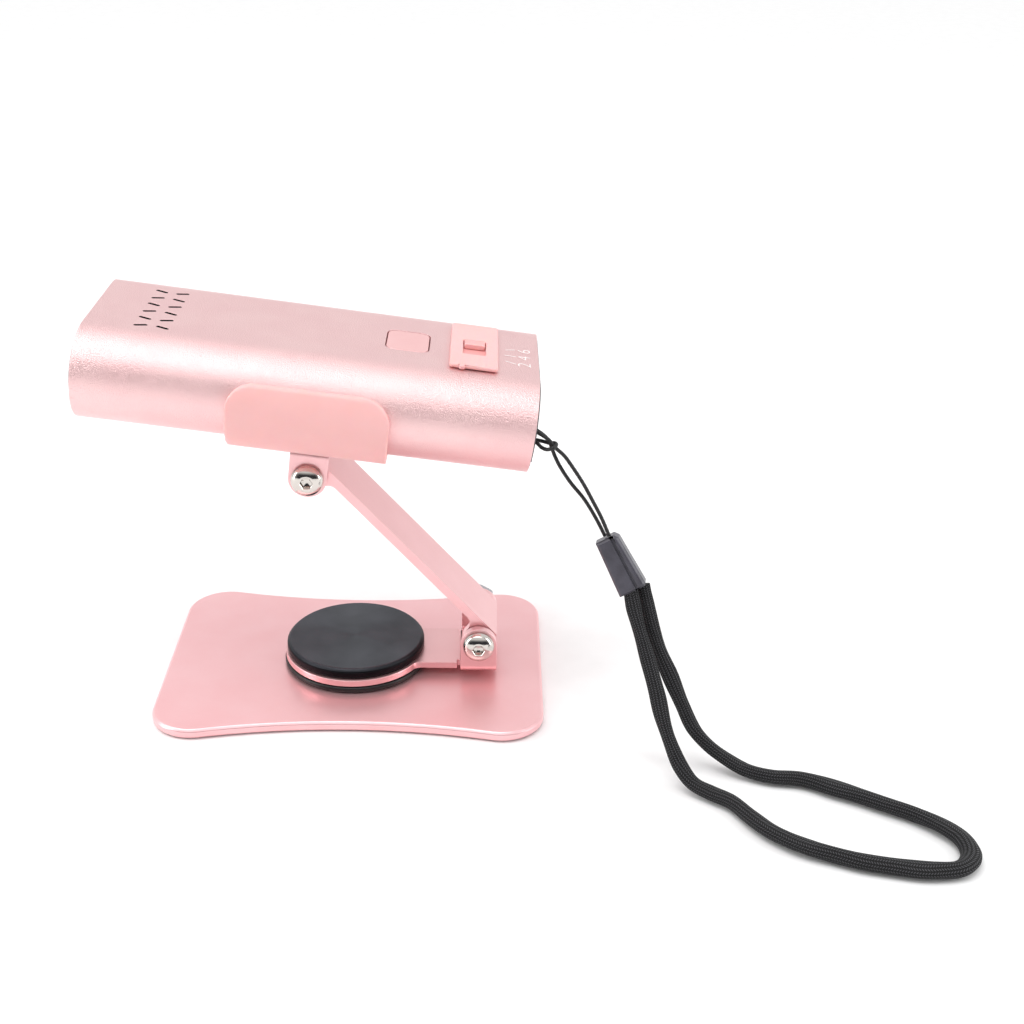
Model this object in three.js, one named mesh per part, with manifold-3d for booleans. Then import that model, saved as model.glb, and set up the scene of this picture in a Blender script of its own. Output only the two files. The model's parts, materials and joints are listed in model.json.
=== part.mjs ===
// Small handheld unit in a cradle on a folding swivel stand, with a wrist strap.
// Millimetres, +Z up, X along the unit, Y away from its front.
// Origin: centre of the stand's base, on the table.
import * as THREE from "three";
import { mergeVertices } from "three/addons/utils/BufferGeometryUtils.js";
import Module from "manifold-3d";

const wasm = await Module();
wasm.setup();

// ---------- driving dimensions ----------
const GAP = 0.3;

// base plate: straight short sides, long sides that curve inwards
const BASE = { w: 110, d: 80, t: 3, r: 12, waist: 35.3, chamfer: 0.7, z: 0.3 };
const PAD = { inset: 7, recess: 0.9 };
const BASE_TOP = BASE.z + BASE.t;

// swivel stack on the base
const RING = { r: 21, z0: BASE_TOP + GAP, z1: 5.3 };
const WEB = { z0: RING.z1 + GAP, t: 2, discR: 20.7, neck: 9.9 };
const DISC = { r: 20.2, z0: WEB.z0 + WEB.t + GAP, z1: 10.9, bevel: 0.9 };
const SWIVEL = { shaftR: 2.5, headR: 4.6, headT: 1.2, nutAF: 8, nutT: 2 };

// hinges: both axes run along Y
const LOWER = { x: 36.4, z: 14.95 };
const UPPER = { x: -10.8, z: 66.9 };
const EAR = { outer: 12.65, t: 2.2, r: 5.25, bend: 2.75 };
const ARM = { outer: 9.9, t: 2.5, off: 5.25, end: 2, earR: 5, gusset: 3 };
const HOLDER = { w: 27, r: 2, hole: 1.65 };
const SCREW = { r: 2.5, headR: 4.5, headT: 2.7, socket: 3, hole: 2.75, nutAF: 8, nutT: 3.6 };

// the unit and its cradle, in the unit's own frame: x along it, z out of its top face
const TILT = 7 * Math.PI / 180;
const BODY_AT = { x: -8.5, z: 94.4 };
const BODY = { len: 118.8, wall: 1.6, flat: 17, half: 30.3, up: 11.3, low: 12, down: 15.5 };
const CRADLE = { x: 1, w: 42, wall: 2.3, top: 5.3, corner: 7, screwX: 9 };
const CRADLE_FLOOR = BODY.down + GAP + CRADLE.wall;
const CAP = { t: 1.5, recess: 1.2, seat: 0.9, proud: 0.4 };
const BOSS = { y: 23.3, z: -8.3, r: 2.6, hole: 1.1, depth: 9 };
const RAIL = { y: 23.4, t: 1.3 };
const VENT = { x: [-45.1, -39.45], pitch: 5.7, rows: 6, len: 3.6, w: 1.1, turn: 22 };
const BUTTON = { x: 23.8, w: 11.3, d: 15, r: 2.6 };
const BEZEL = { x: 41.75, w: 12.9, d: 33.6, r: 0.9, t: 1 };
const WINDOW = { y: -2.1, w: 6.2, d: 11 };
const KNOB = { w: 5.6, d: 4.4, stemW: 2.4, stemD: 2.6 };
const BOARD = { z0: 0.6, t: 1.6, x0: -18, x1: 57.4, half: 26 };
const BATTERY = { x: 3, len: 48, w: 32, h: 10.8, z: -12.4 };
const FAN = { x: -53, len: 5.4, z: -1.4, r: 9.8, half: 20, up: 9, low: 11.8 };
const IMPELLER = { tipR: 9.3, hubR: 3.4, blades: 5, depth: 3.4 };
const COVER = { w: 34, h: 19, z: -1.9, slats: 7 };
const PORT = { y: 8, w: 9, h: 3.2, len: 7.4 };
const EYE = { y: -26.05, z: [0.6, -2.2], w: 3.2, h: 2, r: 0.9, room: 8 };

// strap
const LANYARD_D = 1;
const STRAP_D = 3.8;
const LOCK = { top: [69.8, -34, 61.2], end: [77.3, -38, 47.8], w0: 6.3, w1: 7.8, t: 5.6 };

// one cord: up from the lock, in and out of the two eyes, round its own strands, back to the lock
const LANYARD_ROUTE = [
  [69.1, -33.6, 61.9], [66.9, -32.3, 65.8], [63.7, -30.8, 70.6], [59.9, -29.4, 74.9], [57, -28.2, 79.1],
  [55.6, -27.5, 81.9], [54.9, -27.2, 83.8], [54.2, -26.7, 85.3], [52.7, -25.9, 86.6],
  [50.9, -25.4, 87.7], [48.6, -25.4, 88.8], [45.3, -25.4, 88.9], [44.8, -25.4, 85.1], [48.1, -25.4, 84.4],
  [50.6, -25.4, 84.9], [52.7, -25.5, 84.6], [54.3, -25.9, 84.3], [55.6, -26.5, 84.6], [56.1, -27.9, 84.8],
  [55.7, -29.3, 84.7], [54.8, -29.8, 84.4], [53.7, -29.3, 83.9], [52.3, -28, 83.9],
  [50.6, -26.7, 84.9], [48.1, -26.7, 84.4], [44.8, -26.7, 85.1], [45.3, -26.7, 88.9], [48.6, -26.7, 88.8],
  [50.9, -26.7, 87.7], [52.7, -27.4, 86.9], [54.4, -28.1, 85.8], [55.2, -28.4, 84.6], [56.3, -28.6, 83.7],
  [58.2, -28.8, 82], [60.8, -29.6, 78.6], [63.5, -30.8, 74.7], [65.9, -32.3, 70.7], [68.4, -33.8, 66.3],
  [70.1, -34.9, 62.6],
];

// down from the lock, round on the table, back up to the lock
const STRAP_ROUTE = [
  [76.7, -39, 46.8], [77.5, -40, 43], [78.7, -41.5, 38.7], [80.3, -43.5, 33.9], [82, -46, 28.6],
  [83.9, -49.2, 22.6], [85.5, -52.5, 16.6], [87.7, -55.8, 10.9], [90.3, -59, 6], [93.4, -62, 3],
  [97.6, -64.8, 2.2], [102.4, -68.6, 2.2], [106.6, -75, 2.2], [111.6, -81.6, 2.2], [119.4, -87.2, 2.2],
  [129.4, -91.8, 2.2], [139.4, -94.4, 2.2], [148.6, -95.6, 2.2], [155.2, -94.8, 2.2], [158.9, -90.4, 2.2],
  [158.8, -84, 2.2], [155.4, -78.4, 2.2], [149.4, -73.6, 2.2], [140.8, -68.2, 2.2], [131.4, -62.6, 2.2],
  [122.4, -58.4, 2.2], [114.6, -57.4, 2.2], [108.6, -55, 2.4], [103.6, -52.4, 4], [98.6, -50.4, 7],
  [94.6, -48.5, 11], [91.2, -46.3, 17.5], [88, -44, 24.4], [84.9, -41.8, 31.1], [82.8, -39.9, 37.2],
  [81.4, -38.3, 42.6], [80.1, -37.1, 47.3],
];

// ---------- small tools ----------
function solid(geometry) {
  const bare = new THREE.BufferGeometry();
  bare.setAttribute("position", geometry.getAttribute("position"));
  if (geometry.index) {
    bare.setIndex(geometry.index);
  }
  const g = mergeVertices(bare, 1e-4);
  return new wasm.Manifold(new wasm.Mesh({
    numProp: 3,
    vertProperties: new Float32Array(g.getAttribute("position").array),
    triVerts: new Uint32Array(g.index.array),
  }));
}

function geometryOf(manifold) {
  const mesh = manifold.getMesh();
  const g = new THREE.BufferGeometry();
  g.setAttribute("position", new THREE.BufferAttribute(new Float32Array(mesh.vertProperties), 3));
  g.setIndex(new THREE.BufferAttribute(new Uint32Array(mesh.triVerts), 1));
  return g;
}

function moved(manifold, matrix) {
  return manifold.transform(matrix.toArray());
}

function shift(manifold, x, y, z) {
  return moved(manifold, new THREE.Matrix4().makeTranslation(x, y, z));
}

function box(x0, x1, y0, y1, z0, z1) {
  const g = new THREE.BoxGeometry(x1 - x0, y1 - y0, z1 - z0);
  return solid(g.translate((x0 + x1) / 2, (y0 + y1) / 2, (z0 + z1) / 2));
}

// a shape in the XY plane, raised from z0 to z1
function slab(shape, z0, z1, bevel = 0, curve = 4) {
  const g = new THREE.ExtrudeGeometry(shape, {
    depth: z1 - z0 - 2 * bevel, curveSegments: curve, bevelEnabled: bevel > 0,
    bevelThickness: bevel, bevelSize: bevel, bevelOffset: -bevel, bevelSegments: 1,
  });
  return solid(g.translate(0, 0, z0 + bevel));
}

// a shape drawn as (x, z), run along Y from y0 to y1
function slabY(shape, y0, y1, curve = 8) {
  const g = new THREE.ExtrudeGeometry(shape, { depth: y1 - y0, bevelEnabled: false, curveSegments: curve });
  return solid(g.rotateX(Math.PI / 2).translate(0, y1, 0));
}

// a shape drawn as (y, z), run along X from x0 to x1
function slabX(shape, x0, x1, bevel = 0, curve = 8) {
  const g = new THREE.ExtrudeGeometry(shape, {
    depth: x1 - x0 - 2 * bevel, curveSegments: curve, bevelEnabled: bevel > 0,
    bevelThickness: bevel, bevelSize: bevel, bevelOffset: -bevel, bevelSegments: 1,
  });
  const m = new THREE.Matrix4().set(0, 0, 1, x0 + bevel, 1, 0, 0, 0, 0, 1, 0, 0, 0, 0, 0, 1);
  return solid(g.applyMatrix4(m));
}

function turned(profile, sides) {
  const points = profile.map(([r, z]) => new THREE.Vector2(r, z));
  return solid(new THREE.LatheGeometry(points, sides).rotateX(Math.PI / 2));
}

function rod(r, z0, z1, sides = 24) {
  return turned([[0, z0], [r, z0], [r, z1], [0, z1]], sides);
}

// turns a piece made along Z so that it runs along Y
function alongY(manifold) {
  return moved(manifold, new THREE.Matrix4().makeRotationX(Math.PI / 2));
}

// turns a piece made along Z so that it runs along X
function alongX(manifold) {
  return moved(manifold, new THREE.Matrix4().makeRotationY(Math.PI / 2));
}

function roundRect(w, d, r) {
  const s = new THREE.Shape();
  const x = w / 2 - r;
  const y = d / 2 - r;
  s.absarc(x, y, r, 0, Math.PI / 2);
  s.absarc(-x, y, r, Math.PI / 2, Math.PI);
  s.absarc(-x, -y, r, Math.PI, 1.5 * Math.PI);
  s.absarc(x, -y, r, 1.5 * Math.PI, 2 * Math.PI);
  return s;
}

function hexagon(acrossFlats) {
  const s = new THREE.Shape();
  for (let i = 0; i < 6; i += 1) {
    const a = (i + 0.5) * Math.PI / 3;
    const r = acrossFlats / Math.sqrt(3);
    s[i ? "lineTo" : "moveTo"](r * Math.cos(a), r * Math.sin(a));
  }
  return s;
}

function nut(af, t, holeR) {
  return slab(hexagon(af), 0, t).intersect(turned([[0, 0], [af * 0.52, 0], [af * 0.575, 0.4],
    [af * 0.575, t - 0.4], [af * 0.52, t], [0, t]], 24)).subtract(rod(holeR, -1, t + 1));
}

function tube(points, d, sides, steps) {
  const curve = new THREE.CatmullRomCurve3(points.map((p) => new THREE.Vector3(...p)), false, "centripetal");
  const ring = new THREE.Shape();
  for (let i = 0; i < sides; i += 1) {
    const a = 2 * Math.PI * i / sides;
    ring[i ? "lineTo" : "moveTo"](d / 2 * Math.cos(a), d / 2 * Math.sin(a));
  }
  return solid(new THREE.ExtrudeGeometry(ring, { steps, bevelEnabled: false, extrudePath: curve }));
}

// the upper hinge in the unit's frame, and how far each clevis reaches past its axis
const HINGE_IN_UNIT = {
  x: Math.cos(TILT) * (UPPER.x - BODY_AT.x) - Math.sin(TILT) * (UPPER.z - BODY_AT.z),
  z: Math.sin(TILT) * (UPPER.x - BODY_AT.x) + Math.cos(TILT) * (UPPER.z - BODY_AT.z),
};
const LOWER_DROP = LOWER.z - WEB.z0;
const UPPER_DROP = -CRADLE_FLOOR - GAP - HINGE_IN_UNIT.z;

const MIRROR_X = new THREE.Matrix4().makeScale(-1, 1, 1);
const MIRROR_Y = new THREE.Matrix4().makeScale(1, -1, 1);

const group = new THREE.Group();
const placed = { world: new THREE.Matrix4() };
placed.unit = new THREE.Matrix4().makeTranslation(BODY_AT.x, 0, BODY_AT.z)
  .multiply(new THREE.Matrix4().makeRotationY(TILT));
placed.upper = new THREE.Matrix4().makeTranslation(UPPER.x, 0, UPPER.z)
  .multiply(new THREE.Matrix4().makeRotationY(TILT));
const ARM_ANGLE = Math.atan2(UPPER.z - LOWER.z, LOWER.x - UPPER.x);
const ARM_LEN = Math.hypot(UPPER.z - LOWER.z, LOWER.x - UPPER.x);
placed.arm = new THREE.Matrix4().makeTranslation(LOWER.x, 0, LOWER.z)
  .multiply(new THREE.Matrix4().makeRotationY(ARM_ANGLE));

function add(name, manifold, where, color, metalness = 0, roughness = 0.6) {
  const material = new THREE.MeshStandardMaterial({ color, metalness, roughness });
  const mesh = new THREE.Mesh(geometryOf(moved(manifold, placed[where])), material);
  mesh.name = name;
  group.add(mesh);
}

const PINK_METAL = 0xeec4c6;
const PINK_PLASTIC = 0xf6c2bf;
const BLACK = 0x191919;
const STEEL = 0xc9cbce;
const DARK = 0x3a3a3d;

// ---------- stand ----------
function baseOutline(inset) {
  const w = BASE.w / 2 - inset;
  const r = BASE.r - Math.min(inset, 6);
  const cx = w - r;
  const cy = BASE.d / 2 - inset - r;
  const waist = BASE.waist - inset;
  const rise = waist - cy;
  const big = (cx * cx + rise * rise - r * r) / (2 * (r - rise));
  const lean = Math.asin(cx / (big + r));
  const s = new THREE.Shape();
  s.absarc(cx, cy, r, 0, Math.PI / 2 + lean);
  s.absarc(0, waist + big, big, 1.5 * Math.PI + lean, 1.5 * Math.PI - lean, true);
  s.absarc(-cx, cy, r, Math.PI / 2 - lean, Math.PI);
  s.absarc(-cx, -cy, r, Math.PI, 1.5 * Math.PI + lean);
  s.absarc(0, -waist - big, big, Math.PI / 2 + lean, Math.PI / 2 - lean, true);
  s.absarc(cx, -cy, r, 1.5 * Math.PI - lean, 2 * Math.PI);
  return s;
}

function basePlate() {
  const pocket = slab(baseOutline(PAD.inset), -1, BASE.z + PAD.recess);
  const counterbore = rod(5.6, -1, 2.2, 24);
  return slab(baseOutline(0), BASE.z, BASE_TOP, BASE.chamfer, 10)
    .subtract(pocket).subtract(counterbore).subtract(rod(SWIVEL.shaftR + 0.25, -1, 9, 20));
}

function basePad() {
  return slab(baseOutline(PAD.inset + GAP), 0, BASE.z + PAD.recess - GAP).subtract(rod(5.9, -1, 4, 24));
}

function swivelScrew() {
  return rod(SWIVEL.headR, 0.7, 0.7 + SWIVEL.headT, 32).add(rod(SWIVEL.shaftR, 1, 9.6, 24))
    .subtract(slab(hexagon(2.5), 0, 1.5));
}

function lowerDisc() {
  const { r, z0, z1 } = RING;
  const rim = [[r - 0.4, z0], [r, z0 + 0.4], [r, z1 - 0.4], [r - 0.4, z1]];
  return turned([[2.8, z0], ...rim, [2.8, z1], [2.8, z0]], 56);
}

function topDisc() {
  const { r, z0, z1, bevel } = DISC;
  const rim = [[r - 0.3, z0], [r, z0 + 0.3], [r, z1 - bevel], [r - bevel, z1]];
  return turned([[0, z0], ...rim, [0, z1]], 56).subtract(slab(hexagon(SWIVEL.nutAF + 0.6), z0 - 1, 10))
    .subtract(rod(SWIVEL.shaftR + 0.25, z0 - 1, 10));
}

// one ear of a folded channel along local X: the bend, then a flat cheek
function ear(side, web) {
  const { outer, t, r, bend } = EAR;
  const c = outer - bend;
  const s = new THREE.Shape();
  s.moveTo(c - 1, web);
  s.lineTo(c, web);
  s.absarc(c, web + bend, bend, -Math.PI / 2, 0);
  s.lineTo(outer, r + 1);
  s.lineTo(outer - t, r + 1);
  s.lineTo(outer - t, web + bend);
  s.absarc(c, web + bend, bend - t, 0, -Math.PI / 2, true);
  s.lineTo(c - 1, web + t);
  const right = slabX(s, -r, r, 0, 4);
  return side > 0 ? right : moved(right, MIRROR_Y);
}

// a pair of ears open towards +z, hinge axis on the local origin
function clevis(drop) {
  const web = -drop;
  const mask = new THREE.Shape();
  mask.moveTo(-EAR.r, web - 1);
  mask.lineTo(EAR.r, web - 1);
  mask.lineTo(EAR.r, 0);
  mask.absarc(0, 0, EAR.r, 0, Math.PI);
  const both = [1, -1].map((side) => ear(side, web));
  return both[0].add(both[1]).intersect(slabY(mask, -20, 20, 10))
    .subtract(alongY(rod(SCREW.hole, -20, 20, 20)));
}

function swivelBracket() {
  const tip = LOWER.x + EAR.r;
  const s = new THREE.Shape();
  const leave = Math.asin((WEB.neck + 3) / (WEB.discR + 3));
  const fx = (WEB.discR + 3) * Math.cos(leave);
  s.absarc(0, 0, WEB.discR, leave, 2 * Math.PI - leave);
  s.absarc(fx, -WEB.neck - 3, 3, Math.PI - leave, Math.PI / 2, true);
  s.lineTo(tip - 1, -WEB.neck);
  s.lineTo(tip, -WEB.neck + 1);
  s.lineTo(tip, WEB.neck - 1);
  s.lineTo(tip - 1, WEB.neck);
  s.absarc(fx, WEB.neck + 3, 3, -Math.PI / 2, -Math.PI + leave, true);
  const notch = [1, -1].map((side) => box(LOWER.x - EAR.r - 1, LOWER.x - EAR.r - 0.1,
    side > 0 ? 8.3 : -12, side > 0 ? 12 : -8.3, 0, 12));
  return slab(s, WEB.z0, WEB.z0 + WEB.t, 0, 24).subtract(notch[0]).subtract(notch[1])
    .add(shift(clevis(LOWER_DROP), LOWER.x, 0, LOWER.z))
    .subtract(rod(SWIVEL.shaftR + 0.25, 0, 12));
}

function upperBracket() {
  const flip = new THREE.Matrix4().makeRotationX(Math.PI);
  let made = moved(clevis(UPPER_DROP), flip)
    .add(slab(roundRect(HOLDER.w, 2 * WEB.neck, HOLDER.r), UPPER_DROP - WEB.t, UPPER_DROP));
  for (const side of [1, -1]) {
    made = made.subtract(shift(rod(HOLDER.hole, 0, 12, 16), side * CRADLE.screwX, 0, 0));
  }
  return made;
}

// arm: a flat strip offset from the line between the hinges, cheeks folded in at both ends
function armCheeks(at, facing) {
  const { outer, t, off, end, earR, gusset } = ARM;
  const inner = off - t;
  const mask = new THREE.Shape();
  mask.moveTo(end, off);
  mask.lineTo(end, off - 0.6);
  mask.lineTo(earR * Math.cos(0.5), earR * Math.sin(0.5));
  mask.absarc(0, 0, earR, 0.5, -Math.PI, true);
  mask.lineTo(-earR, inner - gusset);
  mask.absarc(-earR - gusset, inner - gusset, gusset, 0, Math.PI / 2);
  mask.lineTo(-earR - gusset, off);
  const pair = slabY(mask, -outer, -outer + t, 10).add(slabY(mask, outer - t, outer, 10));
  return shift(facing > 0 ? pair : moved(pair, MIRROR_X), at, 0, 0);
}

function armLink() {
  const { outer, t, off, end } = ARM;
  const hinge = alongY(rod(SCREW.hole, -20, 20, 20));
  return box(-ARM_LEN - end, end, -outer, outer, off - t, off)
    .add(armCheeks(0, 1)).add(armCheeks(-ARM_LEN, -1))
    .subtract(hinge).subtract(shift(hinge, -ARM_LEN, 0, 0));
}

function hingeScrew() {
  const { r, headR, headT, socket } = SCREW;
  const seat = EAR.outer + GAP;
  const dome = [[0, -seat], [headR, -seat], [headR, -seat - 0.5], [headR * 0.93, -seat - 1.2],
    [headR * 0.76, -seat - 2], [headR * 0.52, -seat - headT], [0, -seat - headT]];
  const body = turned(dome.reverse(), 32).add(rod(r, -seat - 0.5, seat + SCREW.nutT + 0.8, 24))
    .subtract(slab(hexagon(socket), -seat - headT - 1, -seat - headT + 1.7));
  return moved(body, new THREE.Matrix4().makeRotationX(-Math.PI / 2));
}

function hingeNut() {
  const made = shift(nut(SCREW.nutAF, SCREW.nutT, SCREW.hole), 0, 0, EAR.outer + GAP);
  return moved(made, new THREE.Matrix4().makeRotationX(-Math.PI / 2));
}

function atHinge(manifold, hinge) {
  return shift(manifold, hinge.x, 0, hinge.z);
}

// ---------- cradle ----------
// section of the unit at a given inset; negative insets lie outside it
function contour(inset) {
  const floor = BODY.down - inset;
  const s = new THREE.Shape();
  const a = BODY.half - inset;
  s.absellipse(BODY.flat, 0, a - BODY.flat, BODY.up - inset, 0, Math.PI / 2);
  s.absellipse(-BODY.flat, 0, a - BODY.flat, BODY.up - inset, Math.PI / 2, Math.PI);
  s.absellipse(-BODY.low, 0, a - BODY.low, floor, Math.PI, 1.5 * Math.PI);
  s.absellipse(BODY.low, 0, a - BODY.low, floor, 1.5 * Math.PI, 2 * Math.PI);
  return s;
}

function cradle() {
  const { x, w, wall, top, corner, screwX } = CRADLE;
  const floorZ = -CRADLE_FLOOR;
  const x0 = x - w / 2;
  const x1 = x + w / 2;
  const mask = new THREE.Shape();
  mask.moveTo(x0, floorZ - 1);
  mask.lineTo(x1, floorZ - 1);
  mask.absarc(x1 - corner, top - corner, corner, 0, Math.PI / 2);
  mask.absarc(x0 + corner, top - corner, corner, Math.PI / 2, Math.PI);
  const outer = slabX(contour(-wall - GAP), x0 - 1, x1 + 1, 0, 12);
  const inner = slabX(contour(-GAP), x0 - 2, x1 + 2, 0, 12);
  let made = outer.subtract(inner).intersect(slabY(mask, -40, 40, 8));
  const holeShape = [[0, -20], [1.75, -20], [1.75, -17.9], [3.4, -16], [3.4, -14], [0, -14]];
  for (const side of [1, -1]) {
    made = made.subtract(shift(turned(holeShape, 20), HINGE_IN_UNIT.x + side * screwX, 0, 0));
  }
  return made;
}

// countersunk screw, head face at z = 0, pointing down
function countersunk(headR, r, headT, len, drive) {
  return turned([[0, -len], [r, -len], [r, -headT], [headR, -0.2], [headR, 0], [0, 0]], 14)
    .subtract(box(-drive, drive, -0.35, 0.35, -0.7, 1)).subtract(box(-0.35, 0.35, -drive, drive, -0.7, 1));
}

// ---------- the unit ----------
function bodyShell() {
  const half = BODY.len / 2;
  let made = slabX(contour(0), -half, half, 0, 12)
    .subtract(slabX(contour(BODY.wall), -half - 1, half + 1, 0, 12));
  const room = slabX(contour(BODY.wall / 2), -half, half, 0, 12);
  for (const side of [1, -1]) {
    const y0 = side > 0 ? RAIL.y : -BODY.half;
    const y1 = side > 0 ? BODY.half : -RAIL.y;
    const under = box(-half, half, y0, y1, BOARD.z0 - GAP - RAIL.t, BOARD.z0 - GAP);
    const over = box(-half, half, y0, y1, BOARD.z0 + BOARD.t + GAP, BOARD.z0 + BOARD.t + GAP + RAIL.t);
    const boss = shift(alongX(rod(BOSS.r, -half, half, 20)), 0, side * BOSS.y, BOSS.z);
    made = made.add(under.intersect(room)).add(over.intersect(room)).add(boss.intersect(room));
  }
  for (const end of [1, -1]) {
    const seat = slabX(contour(CAP.seat), 0, CAP.recess + 1, 0, 12);
    made = made.subtract(shift(seat, end > 0 ? half - CAP.recess : -half - 1, 0, 0));
    for (const side of [1, -1]) {
      const hole = alongX(rod(BOSS.hole, -BOSS.depth, BOSS.depth, 12));
      made = made.subtract(shift(hole, end * half, side * BOSS.y, BOSS.z));
    }
  }
  for (const slot of ventSlots()) {
    made = made.subtract(slot);
  }
  const keyHole = slab(roundRect(BUTTON.w + 2 * GAP, BUTTON.d + 2 * GAP, BUTTON.r + GAP), 5, 15);
  const eyeRoom = box(half - EYE.room, half + 1, -27.8, -22.6, EYE.z[1] - 3.4, EYE.z[0] + 4);
  return made.subtract(shift(keyHole, BUTTON.x, 0, 0))
    .subtract(box(BEZEL.x - 1.6, BEZEL.x + 1.6, WINDOW.y - 5, WINDOW.y + 5, 5, 15))
    .subtract(eyeRoom);
}

function ventSlots() {
  const slots = [];
  VENT.x.forEach((x, column) => {
    for (let row = 0; row < VENT.rows; row += 1) {
      const y = (row - (VENT.rows - 1) / 2) * VENT.pitch;
      const turn = ((row + column) % 2 ? -1 : 1) * VENT.turn * Math.PI / 180;
      const slot = slab(roundRect(VENT.len, VENT.w, VENT.w / 2 - 0.01), 6, 14, 0, 2);
      slots.push(shift(moved(slot, new THREE.Matrix4().makeRotationZ(turn)), x, y, 0));
    }
  });
  return slots;
}

// end plate, outer face on x = 0, running towards -x
function endCap() {
  let made = slabX(contour(CAP.seat + GAP), -CAP.t, 0, 0.2, 8);
  for (const side of [1, -1]) {
    const hole = turned([[0, -3], [1.1, -3], [1.1, -1.45], [2.45, -0.1], [2.45, 1], [0, 1]], 12);
    made = made.subtract(shift(alongX(hole), 0, side * BOSS.y, BOSS.z));
  }
  return made;
}

const END = BODY.len / 2 + CAP.proud;

function slotX(w, h, r, x0, x1) {
  return slabX(roundRect(w, h, r), x0, x1, 0, 3);
}

function rightCap() {
  const port = shift(slotX(PORT.w + 2 * GAP, PORT.h + 2 * GAP, 1.8, -4, 4), 0, PORT.y, portZ());
  let made = endCap().subtract(port);
  for (const z of EYE.z) {
    made = made.subtract(shift(slotX(EYE.w, EYE.h, EYE.r, -4, 4), 0, EYE.y, z));
  }
  return shift(made, END, 0, 0);
}

function leftCap() {
  const opening = shift(slotX(COVER.w, COVER.h, 2, -4, 4), 0, 0, COVER.z);
  return moved(shift(endCap().subtract(opening), END, 0, 0), MIRROR_X);
}

// slatted intake cover with the tray that holds the filter behind it
function intakeCover() {
  const w = COVER.w - 2 * GAP;
  const h = COVER.h - 2 * GAP;
  const tray = slotX(w, h, 1.7, -6.4, -CAP.t + 0.2).subtract(slotX(w - 2, h - 2, 1, -7, 0));
  let made = slotX(w, h, 1.7, -CAP.t, 0);
  for (let i = 0; i < COVER.slats; i += 1) {
    const z = (i - (COVER.slats - 1) / 2) * 2.2;
    made = made.subtract(shift(slabX(roundRect(w - 6, 1.1, 0.5), -4, 4, 0, 1), 0, 0, z));
  }
  return moved(shift(made.add(tray), END, 0, COVER.z), MIRROR_X);
}

// pleated filter block
function dustFilter() {
  const w = COVER.w - 2 * GAP - 2 - 2 * GAP;
  const h = COVER.h - 2 * GAP - 2 - 2 * GAP;
  const pleats = 12;
  const s = new THREE.Shape();
  const step = w / pleats;
  s.moveTo(-w / 2, 1.4);
  for (let i = 0; i < pleats; i += 1) {
    s.lineTo(-w / 2 + (i + 0.5) * step, 0);
    s.lineTo(-w / 2 + (i + 1) * step, 1.4);
  }
  for (let i = pleats; i > 0; i -= 1) {
    s.lineTo(-w / 2 + i * step, 4.2);
    s.lineTo(-w / 2 + (i - 0.5) * step, 2.8);
  }
  s.lineTo(-w / 2, 4.2);
  const m = new THREE.Matrix4().set(0, 1, 0, 0, 1, 0, 0, 0, 0, 0, -1, 0, 0, 0, 0, 1);
  return shift(moved(slab(s, -h / 2, h / 2), m), -END + CAP.t + GAP, 0, COVER.z);
}

function fanHousing() {
  const { x, len, z, r, half, up, low } = FAN;
  const spokes = [0, 1, 2].map((i) => moved(box(x + len - 1, x + len, -0.8, 0.8, 3, r + 1),
    new THREE.Matrix4().makeRotationX(i * 2 * Math.PI / 3)));
  const hub = alongX(rod(4.6, x + len - 1, x + len, 24));
  return box(x, x + len, -half, half, -low - z, up - z).subtract(alongX(rod(r, x - 1, x + len + 1, 40)))
    .add(hub.add(spokes[0]).add(spokes[1]).add(spokes[2])).subtract(alongX(rod(1.3, x, x + len + 1, 16)));
}

function fanImpeller() {
  const { tipR, hubR, blades, depth } = IMPELLER;
  const x0 = FAN.x + 0.6;
  let made = alongX(rod(hubR, x0, x0 + depth, 24));
  for (let i = 0; i < blades; i += 1) {
    const blade = box(-2.4, 2.4, -0.4, 0.4, 2.4, tipR + 1);
    const pitched = moved(blade, new THREE.Matrix4().makeRotationZ(0.75));
    const around = new THREE.Matrix4().makeRotationX(i * 2 * Math.PI / blades);
    made = made.add(moved(shift(pitched, x0 + depth / 2, 0, 0), around));
  }
  return made.intersect(alongX(rod(tipR, x0, x0 + depth, 40)))
    .subtract(alongX(rod(1, x0 + 1, x0 + depth + 1, 16)));
}

function fanMotor() {
  const x0 = FAN.x + FAN.len + GAP;
  return alongX(rod(5.2, x0, x0 + 6.4, 28)).add(alongX(rod(0.75, FAN.x + 2, x0 + 1, 16)));
}

function inFan(manifold) {
  return shift(manifold, 0, 0, FAN.z);
}

function circuitBoard() {
  const { x0, x1, z0, t, half } = BOARD;
  return box(x0, x1, -half, half, z0, z0 + t).subtract(box(x1 - 7, x1 + 1, -half - 1, -21, z0 - 1, z0 + 4));
}

function battery() {
  const { x, len, w, h, z } = BATTERY;
  return shift(slotX(w, h, 4, -len / 2, len / 2), x, 0, z + h / 2);
}

function portZ() {
  return BOARD.z0 + BOARD.t + GAP + PORT.h / 2;
}

function chargePort() {
  const { w, h, len } = PORT;
  const x1 = END - 0.5;
  const shell = slotX(w, h, 1.5, x1 - len, x1).subtract(slotX(w - 0.8, h - 0.8, 1.15, x1 - len + 1, x1 + 1));
  return shift(shell.add(box(x1 - len + 0.5, x1 - 1, -3.3, 3.3, -0.35, 0.35)), 0, PORT.y, portZ());
}

const PARTS_Z = BOARD.z0 + BOARD.t + GAP;

function pushSwitch() {
  const made = box(-3, 3, -3, 3, PARTS_Z, PARTS_Z + 3.4).add(rod(1.6, PARTS_Z + 3, PARTS_Z + 4.8, 20));
  return shift(made, BUTTON.x, 0, 0);
}

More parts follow.
